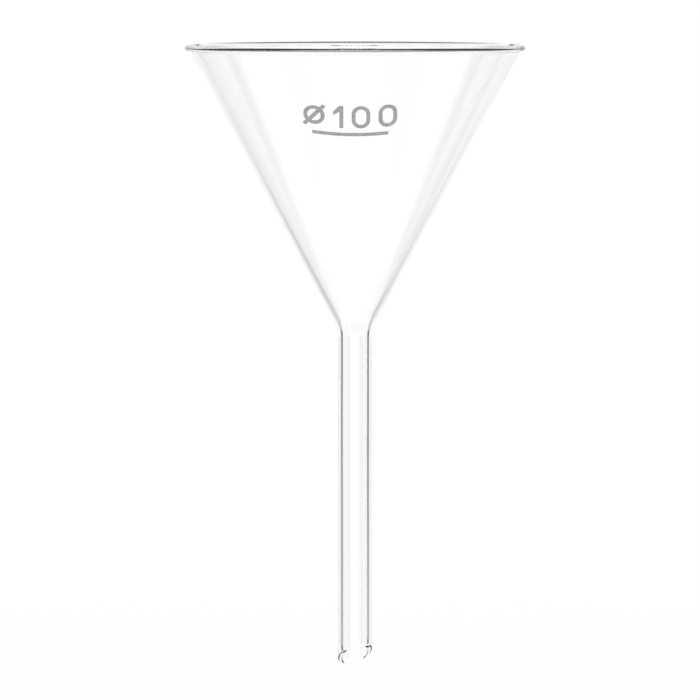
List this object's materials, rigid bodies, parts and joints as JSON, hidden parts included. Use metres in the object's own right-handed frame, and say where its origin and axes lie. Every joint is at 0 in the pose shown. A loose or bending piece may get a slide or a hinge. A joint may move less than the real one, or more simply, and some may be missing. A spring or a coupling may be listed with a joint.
{
  "type": "laboratory glass funnel",
  "caption": "Conical borosilicate glass filter funnel with a beaded rim, a long stem with a bevelled tip and a printed size marking.",
  "frame": {"origin": "on the funnel's axis, where the outside of the cone would meet the outside of the stem", "axes": "+Z along the axis, from the stem towards the rim; the marking is on the -Y side, and the stem's tip is longest on the +Y side, turned 25.5 degrees towards -X"},
  "size_m": [0.1, 0.1, 0.1824],
  "materials": {
    "glass": "clear, fire-polished",
    "enamel": "matt fired enamel print"
  },
  "bodies": {
    "root": {"bowl": "glass", "stem": "glass", "mark_diameter_sign": "enamel", "mark_numeral_one": "enamel", "mark_numeral_zero_1": "enamel", "mark_numeral_zero_2": "enamel", "mark_bar": "enamel"}
  },
  "joints": []
}
